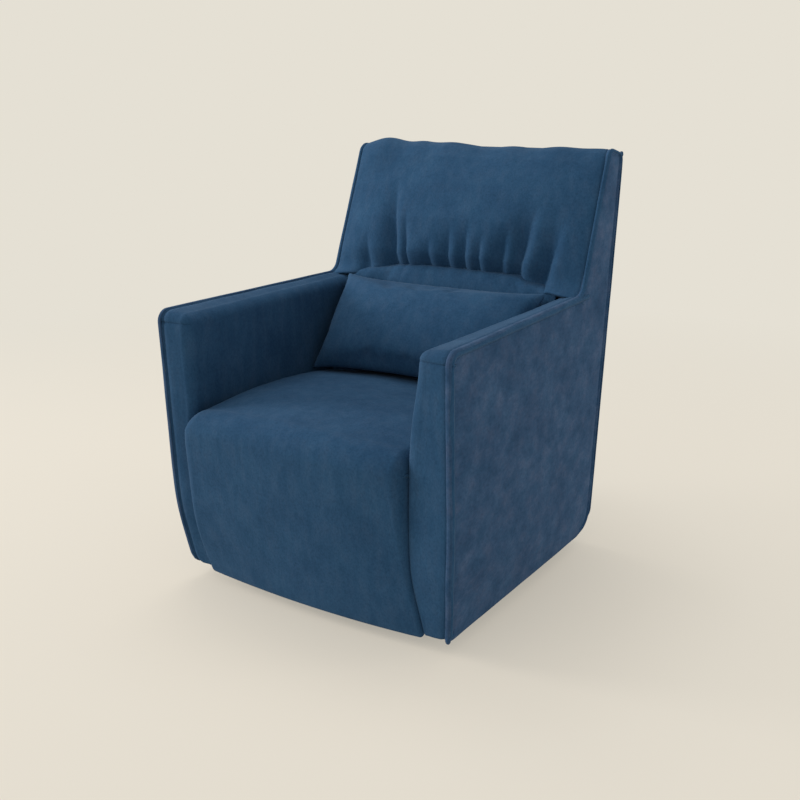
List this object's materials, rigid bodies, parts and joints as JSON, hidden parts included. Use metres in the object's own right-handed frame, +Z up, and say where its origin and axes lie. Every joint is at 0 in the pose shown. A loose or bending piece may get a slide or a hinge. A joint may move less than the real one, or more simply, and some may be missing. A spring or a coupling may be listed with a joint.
{
  "type": "swivel armchair",
  "caption": "Upholstered swivel armchair with upright padded arms, a gathered leaning back, a loose lumbar pillow and a hidden roller turntable base.",
  "frame": {"origin": "on the floor under the swivel axis, which is at the middle of the chair's depth", "axes": "+Z up along the swivel axis, -Y towards the front of the seat, +X to the right seen from the front"},
  "size_m": [0.73, 0.8345, 0.9623],
  "materials": {
    "blue_microfibre": "matt suede-like microfibre with a mottled nap",
    "foam": "cut polyurethane foam",
    "fill": "fibre filling",
    "plywood": "sawn plywood",
    "beech": "planed beech",
    "hardboard": "smooth hardboard",
    "black_board": "black painted board",
    "zinc_plate": "zinc plated",
    "roller_steel": "polished bearing steel",
    "cage": "moulded nylon",
    "felt": "pressed felt",
    "webbing": "woven elastic webbing",
    "dust_cloth": "black non-woven cloth"
  },
  "bodies": {
    "base": {"floor_glides": "felt", "base_disc": "black_board", "lower_race_plate": "zinc_plate", "lower_plate_screws": "zinc_plate", "pivot_bolt": "zinc_plate", "pivot_washer": "zinc_plate", "pivot_nut": "zinc_plate"},
    "bearing": {"roller_cage": "cage", "bearing_rollers": "roller_steel"},
    "chair": {"upper_race_plate": "zinc_plate", "upper_plate_bolts": "zinc_plate", "upper_plate_nuts": "zinc_plate", "swivel_board": "plywood", "front_board": "plywood", "rear_rail": "beech", "seat_rear_rail": "beech", "seat_side_rail_left": "beech", "seat_side_rail_right": "beech", "side_frame_left": "plywood", "side_frame_right": "plywood", "corner_blocks": "beech", "back_top_rail": "beech", "back_mid_rail": "beech", "back_low_rail": "beech", "back_webbing": "webbing", "seat_webbing_long": "webbing", "seat_webbing_cross": "webbing", "seat_foam": "foam", "seat_cover": "blue_microfibre", "arm_pad_left": "foam", "arm_pad_right": "foam", "arm_cover_left": "blue_microfibre", "arm_cover_right": "blue_microfibre", "side_pad_left": "foam", "side_pad_right": "foam", "side_cover_left": "blue_microfibre", "side_cover_right": "blue_microfibre", "lower_back_foam": "foam", "lower_back_cover": "blue_microfibre", "upper_back_foam": "foam", "upper_back_cover": "blue_microfibre", "back_border_left": "blue_microfibre", "back_border_right": "blue_microfibre", "outside_back_board": "hardboard", "outside_back_pad": "fill", "outside_back_cover": "blue_microfibre", "dust_cover": "dust_cloth"},
    "pillow": {"pillow_insert": "fill", "pillow_cover": "blue_microfibre"}
  },
  "joints": [
    {"name": "seat_swivel", "type": "hinge", "parent": "base", "child": "chair", "pos_m": [0, 0, 0.0333], "axis": [0, 0, 1], "continuous": true},
    {"name": "cage_orbit", "type": "hinge", "parent": "base", "child": "bearing", "pos_m": [0, 0, 0.0333], "axis": [0, 0, 1], "continuous": true},
    {"name": "pillow_lift", "type": "slide", "parent": "chair", "child": "pillow", "axis": [0, 0, 1], "range_m": [0, 0.3]}
  ],
  "couplings": [
    {"joint": "cage_orbit", "follows": "seat_swivel", "ratio": 0.5}
  ]
}
